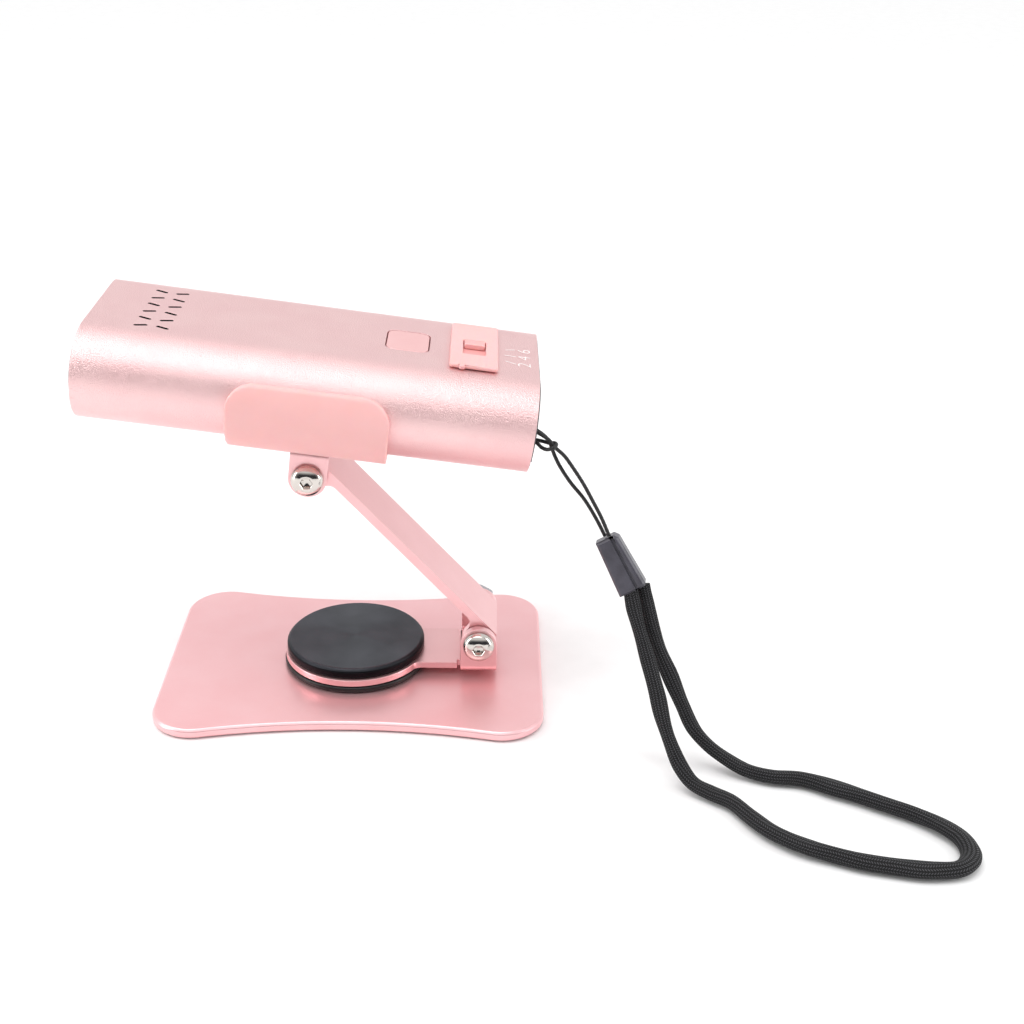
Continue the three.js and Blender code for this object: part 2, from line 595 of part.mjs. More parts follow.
function slideSwitch() {
  const made = box(-4, 4, -7.5, 7.5, PARTS_Z, PARTS_Z + 3.4)
    .subtract(box(-1.7, 1.7, -5.6, 5.6, PARTS_Z + 1.4, PARTS_Z + 5));
  return shift(made, BEZEL.x, WINDOW.y, 0);
}

// flush key with a retaining flange under the shell
function powerButton() {
  const { w, d, r, x } = BUTTON;
  const under = BODY.up - BODY.wall - GAP;
  return shift(slab(roundRect(w, d, r), under - 0.5, BODY.up).add(slab(roundRect(w + 2, d + 2, r + 1),
    under - 1, under)), x, 0, 0);
}

function switchBezel() {
  const { w, d, r, t, x } = BEZEL;
  const z0 = BODY.up + GAP;
  const pip = shift(rod(0.8, z0, z0 + t, 10), -3.1, -d / 2, 0);
  const hole = shift(slab(roundRect(WINDOW.w, WINDOW.d, 0.6), z0 - 1, z0 + t + 1, 0, 2), 0, WINDOW.y, 0);
  return shift(slab(roundRect(w, d, r), z0, z0 + t, 0.25, 3).add(pip).subtract(hole), x, 0, 0);
}

// thumb slide: ridged top in the window, stem down to the switch
function switchKnob() {
  const { w, d, stemW, stemD } = KNOB;
  const z0 = BODY.up + GAP;
  const stem = box(-stemW / 2, stemW / 2, -stemD / 2, stemD / 2, PARTS_Z + 2, z0 + 0.3);
  let made = slab(roundRect(w, d, 0.5), z0, z0 + 1.5, 0.2, 2).add(stem);
  for (const y of [-1.1, 0, 1.1]) {
    made = made.subtract(box(-w, w, y - 0.2, y + 0.2, z0 + 1.15, z0 + 3));
  }
  return shift(made, BEZEL.x, WINDOW.y + (WINDOW.d - d) / 2 - GAP, 0);
}

// ---------- strap ----------
function strapLock() {
  const { top, end, w0, w1, t } = LOCK;
  const from = new THREE.Vector3(...top);
  const run = new THREE.Vector3(...end).sub(from);
  const len = run.length();
  const down = run.clone().normalize();
  const face = new THREE.Vector3(0.857, 0, 0.515);
  const across = face.clone().addScaledVector(down, -down.dot(face)).normalize();
  const out = new THREE.Vector3().crossVectors(down, across);
  const corners = [[-w0 / 2, 0], [w0 / 2 - 1, 0], [w0 / 2, 1.2], [w1 / 2, len - 0.6], [w1 / 2 - 0.6, len],
    [-w1 / 2, len], [-w0 / 2, 1]];
  const s = new THREE.Shape(corners.map(([a, b]) => new THREE.Vector2(a, b)));
  const groove = box(0.9, 1.7, -1, len + 1, -t, 0.6 - t / 2);
  const made = slab(s, -t / 2, t / 2, 0.7).subtract(groove);
  return moved(made, new THREE.Matrix4().makeBasis(across, down, out.negate()).setPosition(from));
}

// ---------- assembly ----------
add("base_plate", basePlate(), "world", PINK_METAL, 0.5, 0.45);
add("base_pad", basePad(), "world", BLACK, 0, 0.9);
add("swivel_screw", swivelScrew(), "world", STEEL, 1, 0.3);
add("swivel_lower_disc", lowerDisc(), "world", BLACK, 0.2, 0.5);
add("swivel_bracket", swivelBracket(), "world", PINK_METAL, 0.6, 0.4);
add("swivel_top_disc", topDisc(), "world", BLACK, 0.5, 0.4);
add("swivel_nut", shift(nut(SWIVEL.nutAF, SWIVEL.nutT, 2.75), 0, 0, DISC.z0), "world", STEEL, 1, 0.3);
add("lower_hinge_screw", atHinge(hingeScrew(), LOWER), "world", STEEL, 1, 0.15);
add("lower_hinge_nut", atHinge(hingeNut(), LOWER), "world", STEEL, 1, 0.25);
add("arm_link", armLink(), "arm", PINK_METAL, 0.6, 0.4);
add("upper_hinge_screw", atHinge(hingeScrew(), UPPER), "world", STEEL, 1, 0.15);
add("upper_hinge_nut", atHinge(hingeNut(), UPPER), "world", STEEL, 1, 0.25);
add("upper_bracket", upperBracket(), "upper", PINK_METAL, 0.6, 0.4);
[1, -1].forEach((side, i) => {
  const headZ = UPPER_DROP + GAP + CRADLE.wall - 0.2;
  const screw = shift(countersunk(2.8, 1.4, 1.4, 4.7, 1.6), side * CRADLE.screwX, 0, headZ);
  add(`cradle_screw_${i + 1}`, screw, "upper", STEEL, 1, 0.3);
});
add("cradle", cradle(), "unit", PINK_PLASTIC, 0, 0.7);

add("body_shell", bodyShell(), "unit", PINK_METAL, 0.4, 0.45);
add("left_end_cap", leftCap(), "unit", DARK, 0, 0.6);
add("right_end_cap", rightCap(), "unit", DARK, 0, 0.6);
for (const [end, label] of [[-1, "left"], [1, "right"]]) {
  [1, -1].forEach((side, i) => {
    const screw = shift(alongX(countersunk(2, 0.85, 1, 7, 1.1)), END - 0.15, side * BOSS.y, BOSS.z);
    add(`${label}_cap_screw_${i + 1}`, end > 0 ? screw : moved(screw, MIRROR_X), "unit", STEEL, 1, 0.3);
  });
}
add("intake_cover", intakeCover(), "unit", DARK, 0, 0.6);
add("dust_filter", dustFilter(), "unit", 0xdcdcd6, 0, 0.95);
add("fan_housing", inFan(fanHousing()), "unit", BLACK, 0, 0.6);
add("fan_impeller", inFan(fanImpeller()), "unit", 0x4a4a4e, 0, 0.5);
add("fan_motor", inFan(fanMotor()), "unit", STEEL, 0.8, 0.4);
add("battery", battery(), "unit", 0x2f5f8f, 0, 0.6);
add("circuit_board", circuitBoard(), "unit", 0x1f5a35, 0, 0.6);
add("push_switch", pushSwitch(), "unit", BLACK, 0, 0.6);
add("slide_switch", slideSwitch(), "unit", STEEL, 0.6, 0.4);
add("charge_port", chargePort(), "unit", STEEL, 1, 0.3);
add("power_button", powerButton(), "unit", PINK_METAL, 0.2, 0.5);
add("switch_bezel", switchBezel(), "unit", PINK_PLASTIC, 0, 0.5);
add("switch_knob", switchKnob(), "unit", PINK_PLASTIC, 0, 0.5);
add("lanyard_cord", tube(LANYARD_ROUTE, LANYARD_D, 8, 56), "world", BLACK, 0, 0.8);
add("strap_lock", strapLock(), "world", DARK, 0, 0.5);
add("wrist_strap", tube(STRAP_ROUTE, STRAP_D, 8, 36), "world", BLACK, 0, 0.9);

export default group;
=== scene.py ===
"""Looks of the handheld unit on its folding stand: finish, cords, marks, light and camera.

Everything is in metres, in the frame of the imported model.
"""

import json
import math

import bmesh
import bpy
from mathutils import Matrix, Vector


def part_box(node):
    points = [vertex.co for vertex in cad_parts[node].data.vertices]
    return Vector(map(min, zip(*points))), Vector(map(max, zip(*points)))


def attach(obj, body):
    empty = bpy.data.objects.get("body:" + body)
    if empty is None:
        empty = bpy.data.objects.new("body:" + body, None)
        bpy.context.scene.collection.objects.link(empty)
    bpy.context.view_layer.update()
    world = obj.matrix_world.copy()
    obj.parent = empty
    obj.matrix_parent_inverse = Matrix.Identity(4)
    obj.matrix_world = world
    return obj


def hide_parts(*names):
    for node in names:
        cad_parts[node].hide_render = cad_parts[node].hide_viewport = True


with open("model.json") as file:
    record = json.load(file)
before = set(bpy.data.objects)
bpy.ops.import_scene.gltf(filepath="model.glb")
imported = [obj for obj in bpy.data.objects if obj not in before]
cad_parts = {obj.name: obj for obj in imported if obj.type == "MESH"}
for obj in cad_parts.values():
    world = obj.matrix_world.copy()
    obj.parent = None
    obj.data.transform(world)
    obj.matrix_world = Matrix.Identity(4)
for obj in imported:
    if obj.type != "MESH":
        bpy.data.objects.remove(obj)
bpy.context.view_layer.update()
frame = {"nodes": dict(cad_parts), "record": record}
RECORD = frame["record"]
BODY_OF = {node: body for body, nodes in RECORD["behaviour"]["bodies"].items() for node in nodes}
SLOT_OF = {part["node"]: part["material_slot"] for part in RECORD["subparts"]}

# ---------- driving values ----------
MM = 0.001
UNIT_TILT = math.radians(7)
UNIT_AT = Vector((-0.0085, 0, 0.0944))
UNIT = Matrix.Translation(UNIT_AT) @ Matrix.Rotation(UNIT_TILT, 4, "Y")
SHELL_TOP = 0.0113

CAMERA = {"at": (0.03808, -0.38899, 0.23891), "heading": -1.09, "down": 25.69, "roll": 1.16,
          "lens": 53.2, "sensor": 36, "near": 0.01}

# Button-head screws of the two hinges. "edge" is the straight rim under the dome.
SCREW_HEAD = {"radius": 0.0045, "height": 0.0027, "edge": 0.0005, "flat": 0.0021, "chamfer": 0.0002,
              "socket": 0.003, "depth": 0.0017, "drill": 0.0006, "drill_rim": 0.0004, "sides": 48,
              "dome_rings": 12}
# "crest" and "root" are places within one turn, as shares of the pitch.
SCREW_THREAD = {"radius": 0.0025, "pitch": 0.0008, "depth": 0.0004, "turns": 9, "tip": 0.0003,
                "crest": (0.2, 0.35), "root": 0.75, "chamfer": 0.0005, "run_out": 0.0005}

# The two cords. "ring" is the number of sides of the tube, "step" the distance between its rings.
LANYARD = {"diameter": 0.001, "length": 0.116, "ring": 14, "step": 0.0004, "twist": 0.0012,
           "weave": 0.0006, "strands": 6, "ripple": 0.05}
# "pinched" is the strap's share of its size in the lock. Where it lies it is "lying" times its size,
# and wider again by the share "spread". "wale" is how deep the furrows between its wales are, and
# "soft" how much fuller the flat side is in its middle, both as shares.
STRAP = {"width": 0.0042, "thick": 0.0028, "length": 0.262, "ring": 54, "step": 0.0003,
         "floor": 0.0005, "pinched": 0.9, "lying": 1.17, "spread": 0.12, "wale": 0.05, "soft": 0.1}
# The strap's thin side faces STRAP_FACING where it hangs, and turns up over the heights of
# STRAP_TURNS_AT. It settles on to the table below STRAP_SETTLES_AT. From either end, it is let out
# of the lock's pinch over the stretch STRAP_LET_OUT, and lies over the stretch STRAP_LIES_FROM.
STRAP_FACING = Vector((-0.05, -0.9, 0.43))
STRAP_TURNS_AT = (0.002, 0.016)
STRAP_SETTLES_AT = 0.012
STRAP_LET_OUT = (0.001, 0.006)
STRAP_LIES_FROM = (0.045, 0.085)
# Waves along the strap: size, wavelength over two pi, and phase. The lumps are shares of its size.
LUMPS = ((0.05, 0.0023, 0), (0.08, 0.0047, 2))
SWAY_ACROSS = (0.22, 0.011, 0)
SWAY_UP = (0.1, 0.017, 1)
# The braid: wales round the strap, and the length of one stitch.
WALES = 16
COURSE = 0.00066
# How far the strap runs on inside the lock. The thin cord goes half as far.
IN_LOCK = 0.0014
# How finely a route's curve is measured between two of its points.
SPAN_STEPS = 24

VENTS = {"columns": (-0.0451, -0.03945), "pitch": 0.0057, "rows": 6, "length": 0.0036, "width": 0.0011,
         "turn": math.radians(22)}
SHUTTER = {"width": 0.0078, "length": 0.0178, "corner": 0.0008, "low": 0.00005, "high": 0.00022}
# Sizes of the near-black ribs in the vents, which paint shade into the slots.
SHADE_RIB = {"play": 0.00004, "height": 0.0014, "below": 0.00002, "end_flat": 0.00001}

# Print on the top face, in the unit's own x and y in millimetres.
STROKES = [((50.3, 2.7), (52.9, 3.7)), ((50.0, -1.5), (53.3, -1.7)), ((50.3, -6.0), (53.2, -7.5))]
STROKE_HALF_WIDTH = 0.16
NUMBERS = {"2": (55.6, -7.4), "4": (55.6, -2.0), "6": (55.6, 3.4)}
NUMBER = {"size": 0.0052, "thinner": 0.0001, "wider": 1.3}
INK = 0.00003

# Mesh cleaning: points this close are one, and so are faces this close to level with each other.
WELD = 0.000002
FLAT_ENOUGH = math.radians(0.4)
# Edges bent by more than "corner" degrees are rounded, and the shading breaks at "crisp" degrees.
ROUNDING = {"slight": 0.0001, "segments": 2, "corner": 28, "crisp": 50}
MOULDING = {"voxel": 0.00042, "soften": 0.5, "passes": 4}
CORNER_STEPS = 5

FLOOR_HALF_SIZE = 4
SOFTBOXES = (
    {"name": "left_window", "at": (-0.8, -0.2, 0.35), "towards": (0, 0, 0.06),
     "size": (0.25, 0.7), "power": 2.5},
    {"name": "right_window", "at": (0.85, -0.25, 0.35), "towards": (0, 0, 0.06),
     "size": (0.25, 0.7), "power": 2.5},
    {"name": "top_front", "at": (-0.1, -0.25, 0.9), "towards": (0.02, 0, 0.05),
     "size": (1.0, 0.35), "power": 1.2},
)
OVERHEAD = {"angle": math.radians(45), "power": 0.9, "shines": Vector((0.25, 0.1, -1))}
ROOM_WHITE = (0.86, 0.86, 0.86, 1)
ROOM_GREY = (0.045, 0.045, 0.05, 1)
# Where the room is fully grey and where it isn't grey any more, along Y and Z of the direction.
GREY_IN_FRONT = (-0.75, -0.1)
GREY_BELOW = (0.27, 0.65)

# Routes of the two cords: from the lock, round, and back into the lock.
LANYARD_ROUTE = [
    (0.0691, -0.0336, 0.0619), (0.0669, -0.0323, 0.0658), (0.0637, -0.0308, 0.0706),
    (0.0599, -0.0294, 0.0749), (0.0570, -0.0282, 0.0791), (0.0556, -0.0275, 0.0819),
    (0.0549, -0.0272, 0.0838), (0.0542, -0.0267, 0.0853), (0.0527, -0.0259, 0.0866),
    (0.0509, -0.0254, 0.0877), (0.0486, -0.0254, 0.0888), (0.0453, -0.0254, 0.0889),
    (0.0448, -0.0254, 0.0851), (0.0481, -0.0254, 0.0844), (0.0506, -0.0254, 0.0849),
    (0.0527, -0.0255, 0.0846), (0.0543, -0.0259, 0.0843), (0.0556, -0.0265, 0.0846),
    (0.0561, -0.0279, 0.0848), (0.0557, -0.0293, 0.0847), (0.0548, -0.0298, 0.0844),
    (0.0537, -0.0293, 0.0839), (0.0523, -0.0280, 0.0839), (0.0506, -0.0267, 0.0849),
    (0.0481, -0.0267, 0.0844), (0.0448, -0.0267, 0.0851), (0.0453, -0.0267, 0.0889),
    (0.0486, -0.0267, 0.0888), (0.0509, -0.0267, 0.0877), (0.0527, -0.0274, 0.0869),
    (0.0544, -0.0281, 0.0858), (0.0552, -0.0284, 0.0846), (0.0563, -0.0286, 0.0837),
    (0.0582, -0.0288, 0.0820), (0.0608, -0.0296, 0.0786), (0.0635, -0.0308, 0.0747),
    (0.0659, -0.0323, 0.0707), (0.0684, -0.0338, 0.0663), (0.0701, -0.0349, 0.0626),
]
STRAP_ROUTE = [
    (0.0767, -0.0390, 0.0468), (0.0775, -0.0400, 0.0430), (0.0787, -0.0415, 0.0387),
    (0.0803, -0.0435, 0.0339), (0.0820, -0.0460, 0.0286), (0.0839, -0.0492, 0.0226),
    (0.0855, -0.0525, 0.0166), (0.0877, -0.0558, 0.0109), (0.0903, -0.0590, 0.0060),
    (0.0934, -0.0620, 0.0030), (0.0976, -0.0648, 0.0022), (0.1024, -0.0686, 0.0022),
    (0.1066, -0.0750, 0.0022), (0.1116, -0.0816, 0.0022), (0.1194, -0.0872, 0.0022),
    (0.1294, -0.0918, 0.0022), (0.1394, -0.0944, 0.0022), (0.1486, -0.0956, 0.0022),
    (0.1552, -0.0948, 0.0022), (0.1589, -0.0904, 0.0022), (0.1588, -0.0840, 0.0022),
    (0.1554, -0.0784, 0.0022), (0.1494, -0.0736, 0.0022), (0.1408, -0.0682, 0.0022),
    (0.1314, -0.0626, 0.0022), (0.1224, -0.0584, 0.0022), (0.1146, -0.0574, 0.0022),
    (0.1086, -0.0550, 0.0024), (0.1036, -0.0524, 0.0040), (0.0986, -0.0504, 0.0070),
    (0.0946, -0.0485, 0.0110), (0.0912, -0.0463, 0.0175), (0.0880, -0.0440, 0.0244),
    (0.0849, -0.0418, 0.0311), (0.0828, -0.0399, 0.0372), (0.0814, -0.0383, 0.0426),
    (0.0801, -0.0371, 0.0473),
]


# ---------- camera ----------
def make_camera():
    data = bpy.data.cameras.new("camera")
    data.sensor_width = CAMERA["sensor"]
    data.lens = CAMERA["lens"]
    data.clip_start = CAMERA["near"]
    camera = bpy.data.objects.new("camera", data)
    heading = Matrix.Rotation(math.radians(CAMERA["heading"]), 4, "Z")
    pitch = Matrix.Rotation(math.radians(90 - CAMERA["down"]), 4, "X")
    roll = Matrix.Rotation(math.radians(CAMERA["roll"]), 4, "Z")
    camera.matrix_world = Matrix.Translation(CAMERA["at"]) @ heading @ pitch @ roll
    bpy.context.scene.collection.objects.link(camera)
    bpy.context.scene.camera = camera


# ---------- material tools ----------
def srgb(red, green, blue):
    """A colour given as 0 to 255, as the linear values that shaders use."""
    def linear(value):
        value /= 255
        return value / 12.92 if value <= 0.04045 else ((value + 0.055) / 1.055) ** 2.4
    return (linear(red), linear(green), linear(blue), 1)


class Finish:
    """A node material on one Principled shader, built up socket by socket."""

    def __init__(self, name, **fixed):
        self.material = bpy.data.materials.new(name)
        self.material.use_nodes = True
        self.tree = self.material.node_tree
        self.shader = self.tree.nodes["Principled BSDF"]
        for key, value in fixed.items():
            self.shader.inputs[key.replace("_", " ")].default_value = value

    def node(self, kind, values=None, **settings):
        made = self.tree.nodes.new(kind)
        for key, value in settings.items():
            setattr(made, key, value)
        for key, value in (values or {}).items():
            if isinstance(value, bpy.types.NodeSocket):
                self.tree.links.new(value, made.inputs[key])
            else:
                made.inputs[key].default_value = value
        return made

    def place(self, stretch=(1, 1, 1), kind="Object"):
        source = self.node("ShaderNodeTexCoord").outputs[kind]
        return self.node("ShaderNodeMapping", {"Vector": source, "Scale": stretch}).outputs["Vector"]

    def noise(self, scale, detail=2.0, stretch=(1, 1, 1)):
        values = {"Vector": self.place(stretch), "Scale": scale, "Detail": detail}
        return self.node("ShaderNodeTexNoise", values).outputs[0]

    def math(self, operation, first, second=0.0):
        return self.node("ShaderNodeMath", {0: first, 1: second}, operation=operation).outputs[0]

    def ramp(self, factor, stops):
        made = self.node("ShaderNodeValToRGB", {"Fac": factor})
        elements = made.color_ramp.elements
        while len(elements) < len(stops):
            elements.new(0.5)
        for element, (position, colour) in zip(elements, stops):
            element.position = position
            element.color = colour
        return made.outputs["Color"]

    def spread(self, factor, low, high, start=0.3, end=0.7):
        values = {"Value": factor, "From Min": start, "From Max": end, "To Min": low, "To Max": high}
        return self.node("ShaderNodeMapRange", values).outputs["Result"]

    def drive(self, key, socket):
        self.tree.links.new(socket, self.shader.inputs[key])

    def bump(self, height, distance):
        values = {"Height": height, "Distance": distance, "Strength": 1.0}
        return self.node("ShaderNodeBump", values).outputs["Normal"]


def grained(name, dark, light, roughness, grain, relief, mottle=90, swing=0.05, **fixed):
    """Fine grain in the surface, with a faint broad drift of colour and gloss."""
    made = Finish(name, **fixed)
    broad = made.noise(mottle, 3.0)
    fine = made.noise(grain, 2.0)
    made.drive("Base Color", made.ramp(broad, [(0.3, dark), (0.7, light)]))
    made.drive("Roughness", made.spread(fine, roughness - swing, roughness + swing))
    made.drive("Normal", made.bump(fine, relief))
    return made


# ---------- one function for each kind of finish ----------
def body_aluminium():
    return grained("body_aluminium", srgb(245, 204, 205), srgb(248, 210, 210), 0.34, 3500, 0.0002,
                   Metallic=0.85)


def base_metal():
    return grained("base_metal", srgb(250, 198, 201), srgb(252, 204, 207), 0.36, 2600, 0.00002,
                   Metallic=0.7)


def sheet_metal():
    return grained("sheet_metal", srgb(244, 194, 196), srgb(248, 200, 202), 0.34, 2200, 0.000008,
                   Metallic=0.75)


def cradle_plastic():
    return grained("cradle_plastic", srgb(246, 186, 184), srgb(249, 192, 190), 0.52, 1500, 0.000015,
                   Subsurface_Weight=0.2, Subsurface_Scale=0.002, Sheen_Weight=0.1)


def control_plastic():
    return grained("control_plastic", srgb(243, 184, 182), srgb(245, 190, 188), 0.45, 1800, 0.00001,
                   Subsurface_Weight=0.15, Subsurface_Scale=0.001)


def button_pink():
    return grained("button_pink", srgb(239, 190, 190), srgb(242, 196, 196), 0.42, 2600, 0.00003,
                   Metallic=0.5)


def screw_chrome():
    return grained("screw_chrome", srgb(206, 199, 193), srgb(220, 214, 208), 0.1, 1400, 0.000003,
                   swing=0.03, Metallic=1)


def screw_steel():
    return grained("screw_steel", srgb(176, 176, 180), srgb(198, 198, 202), 0.26, 1800, 0.000006,
                   Metallic=1)


def motor_steel():
    return grained("motor_steel", srgb(168, 168, 172), srgb(190, 190, 194), 0.34, 1200, 0.000006,
                   Metallic=1)


def pad_rubber():
    return grained("pad_rubber", srgb(30, 30, 31), srgb(44, 44, 45), 0.85, 900, 0.00008)


def black_disc():
    return grained("black_disc", srgb(22, 22, 23), srgb(34, 34, 35), 0.42, 1600, 0.00002,
                   Metallic=0.2)


def cap_plastic():
    return grained("cap_plastic", srgb(58, 54, 56), srgb(70, 66, 68), 0.5, 1900, 0.00003)


def inner_plastic():
    return grained("inner_plastic", srgb(46, 46, 49), srgb(60, 60, 64), 0.5, 1500, 0.00003)


def lock_plastic():
    return grained("lock_plastic", srgb(62, 60, 68), srgb(78, 76, 86), 0.34, 2400, 0.00003,
                   mottle=300)


# Near black and hardly glossy: painted shade of the vent holes.
def vent_painted_shade():
    return grained("vent_painted_shade", srgb(6, 3, 3), srgb(13, 8, 8), 0.9, 1800, 0.00003,
                   Specular_IOR_Level=0.05)


# A darker copy of the control plastic: painted shade of the recess round the knob.
def shutter_painted_shade():
    return grained("shutter_painted_shade", srgb(226, 160, 158), srgb(232, 168, 166), 0.5, 1800, 0.00001)


def print_white():
    return grained("print_white", srgb(252, 244, 243), srgb(255, 250, 249), 0.5, 2500, 0.000005)


def black_disc_turned():
    """Black turned face: fine rings about the disc's centre draw the light out into spokes.

    Its sides and rounded rim are painted darker by the way they face, away from straight up: painted
    shade.
    """
    made = Finish("black_disc_turned", Metallic=1, Anisotropic=0.92)
    rings = made.node("ShaderNodeTexWave", {"Vector": made.place(), "Scale": 900, "Distortion": 0},
                      wave_type="RINGS", rings_direction="Z", wave_profile="TRI").outputs["Fac"]
    broad = made.noise(120, 3.0)
    face = made.ramp(broad, [(0.3, srgb(76, 77, 82)), (0.7, srgb(88, 89, 95))])
    # Painted shade: the colour falls to near black wherever the surface turns away from straight up.
    normal = made.node("ShaderNodeTexCoord").outputs["Normal"]
    upward = made.node("ShaderNodeSeparateXYZ", {"Vector": normal}).outputs["Z"]
    level = made.spread(upward, 0, 1, 0.6, 0.98)
    values = {"Factor": level, "A": srgb(30, 30, 33), "B": face}
    painted_side_shade = made.node("ShaderNodeMix", values, data_type="RGBA")
    made.drive("Base Color", painted_side_shade.outputs["Result"])
    made.drive("Roughness", made.spread(rings, 0.26, 0.4, 0, 1))
    made.drive("Tangent", made.node("ShaderNodeTangent", direction_type="RADIAL", axis="Z").outputs[0])
    made.drive("Normal", made.bump(rings, 0.000006))
    return made


def strap_fabric():
    """Braided tube: wales run along the cord, each a chain of slanted stitches."""
    made = Finish("strap_fabric", Sheen_Weight=0.06, Sheen_Roughness=0.4, Specular_IOR_Level=0.3)
    split = made.node("ShaderNodeSeparateXYZ", {"Vector": made.place(kind="UV")})
    along = made.math("DIVIDE", split.outputs["X"], COURSE)
    wale = made.math("MULTIPLY", split.outputs["Y"], WALES)
    zigzag = made.math("PINGPONG", wale, 1.0)
    slant = made.math("ADD", along, made.math("MULTIPLY", zigzag, 1.1))
    stitch = made.math("SINE", made.math("MULTIPLY", slant, 2 * math.pi))
    column = made.math("ABSOLUTE", made.math("SINE", made.math("MULTIPLY", wale, math.pi)))
    height = made.math("MULTIPLY", made.math("ADD", made.math("MULTIPLY", stitch, 0.5), 0.5), column)
    fibre = made.noise(5200, 2.0)
    mixed = made.math("ADD", height, made.math("MULTIPLY", fibre, 0.3))
    # Painted shade and highlight: the colour follows the stitch height, near black in the furrows and
    # lighter on the crests, and the fibre noise adds tone at random.
    stitch_shade_and_highlight = [(0.1, srgb(3, 3, 4)), (0.6, srgb(15, 15, 17)), (1.0, srgb(88, 88, 92))]
    made.drive("Base Color", made.ramp(mixed, stitch_shade_and_highlight))
    made.drive("Roughness", made.spread(fibre, 0.55, 0.8))
    made.drive("Normal", made.bump(mixed, 0.0003))
    return made


def cord_black():
    """Thin braided cord: fine slanted turns."""
    made = Finish("cord_black", Sheen_Weight=0.05)
    split = made.node("ShaderNodeSeparateXYZ", {"Vector": made.place(kind="UV")})
    along = made.math("DIVIDE", split.outputs["X"], LANYARD["weave"])
    turn = made.math("PINGPONG", made.math("MULTIPLY", split.outputs["Y"], LANYARD["strands"]), 1.0)
    weave = made.math("SINE", made.math("MULTIPLY", made.math("ADD", along, turn), 2 * math.pi))
    height = made.math("ADD", made.math("MULTIPLY", weave, 0.5), 0.5)
    # Painted shade and highlight: the colour follows the weave height, darker in the grooves and lighter
    # on the crests.
    made.drive("Base Color", made.ramp(height, [(0, srgb(6, 6, 7)), (1, srgb(24, 24, 26))]))
    made.drive("Roughness", made.spread(made.noise(3000), 0.38, 0.55))
    made.drive("Normal", made.bump(height, 0.00005))
    return made


def filter_fabric():
    """Pleated non-woven filter: tangled fibres, greyer where they lie low: painted shade."""
    made = Finish("filter_fabric", Sheen_Weight=0.3)
    fibres = made.noise(2600, 6.0, (1, 0.25, 1))
    # Painted shade: one noise sets both colour and bump, so the low fibres are the grey ones.
    made.drive("Base Color", made.ramp(fibres, [(0.3, srgb(206, 205, 198)), (0.7, srgb(236, 235, 230))]))
    made.drive("Roughness", made.spread(fibres, 0.85, 0.98))
    made.drive("Normal", made.bump(fibres, 0.0002))
    return made


def battery_wrap():
    """Shrink film: a satin blue sleeve with faint lengthwise tension lines."""
    made = Finish("battery_wrap", Coat_Weight=0.3)
    lines = made.noise(700, 3.0, (0.08, 1, 1))
    made.drive("Base Color", made.ramp(lines, [(0.3, srgb(40, 92, 150)), (0.7, srgb(52, 108, 168))]))
    made.drive("Roughness", made.spread(lines, 0.28, 0.4))
    made.drive("Normal", made.bump(lines, 0.00005))
    return made


def board_green():
    """Solder mask over square-cornered copper tracks."""
    made = Finish("board_green", Coat_Weight=0.4)
    values = {"Vector": made.place(), "Scale": 420.0}
    tracks = made.node("ShaderNodeTexVoronoi", values, distance="MANHATTAN",
                       feature="DISTANCE_TO_EDGE").outputs["Distance"]
    made.drive("Base Color", made.ramp(tracks, [(0.03, srgb(52, 132, 84)), (0.09, srgb(22, 84, 52))]))
    made.drive("Roughness", made.spread(made.noise(1500), 0.3, 0.45))
    made.drive("Normal", made.bump(made.math("MINIMUM", tracks, 0.1), 0.0002))
    return made


FINISHES = {make.__name__: make().material for make in (
    body_aluminium, base_metal, sheet_metal, cradle_plastic, control_plastic, button_pink,
    screw_chrome, screw_steel, motor_steel, pad_rubber, black_disc, black_disc_turned, cap_plastic,
    inner_plastic, lock_plastic, strap_fabric, cord_black, filter_fabric, battery_wrap, board_green,
    print_white, vent_painted_shade, shutter_painted_shade)}


# ---------- mesh tools ----------
def add_piece(name, mesh, body, slot, material=None):
    """A new object with its finish, riding on a CAD body."""
    made = bpy.data.objects.new(name, mesh)
    bpy.context.scene.collection.objects.link(made)
    mesh.materials.clear()
    mesh.materials.append(FINISHES[material or slot])
    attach(made, body)
    return made


def shade(mesh, sharp=40):
    """Smooth shading with crisp edges where two faces meet at more than the given angle."""
    mesh.shade_smooth()
    mesh.set_sharp_from_angle(angle=math.radians(sharp))


def refined(node, width, clamp):
    """A CAD node again as clean faces, with its corners rounded over and its curves smooth."""
    work = bmesh.new()
    work.from_mesh(frame["nodes"][node].data)
    bmesh.ops.remove_doubles(work, verts=work.verts, dist=WELD)
    bmesh.ops.dissolve_limit(work, angle_limit=FLAT_ENOUGH, verts=work.verts, edges=work.edges)
    bmesh.ops.recalc_face_normals(work, faces=work.faces)
    corners = [e for e in work.edges if len(e.link_faces) == 2
               and e.calc_face_angle(0) > math.radians(ROUNDING["corner"])]
    bmesh.ops.bevel(work, geom=corners, offset=width, segments=ROUNDING["segments"], profile=0.5,
                    affect="EDGES", clamp_overlap=clamp)
    mesh = bpy.data.meshes.new(node + "_finished")
    work.to_mesh(mesh)
    work.free()
    shade(mesh, ROUNDING["crisp"])
    piece = add_piece(node + "_finished", mesh, BODY_OF[node], SLOT_OF[node])
    weighted = piece.modifiers.new("even_shading", "WEIGHTED_NORMAL")
    weighted.keep_sharp = True
    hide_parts(node)
    return piece


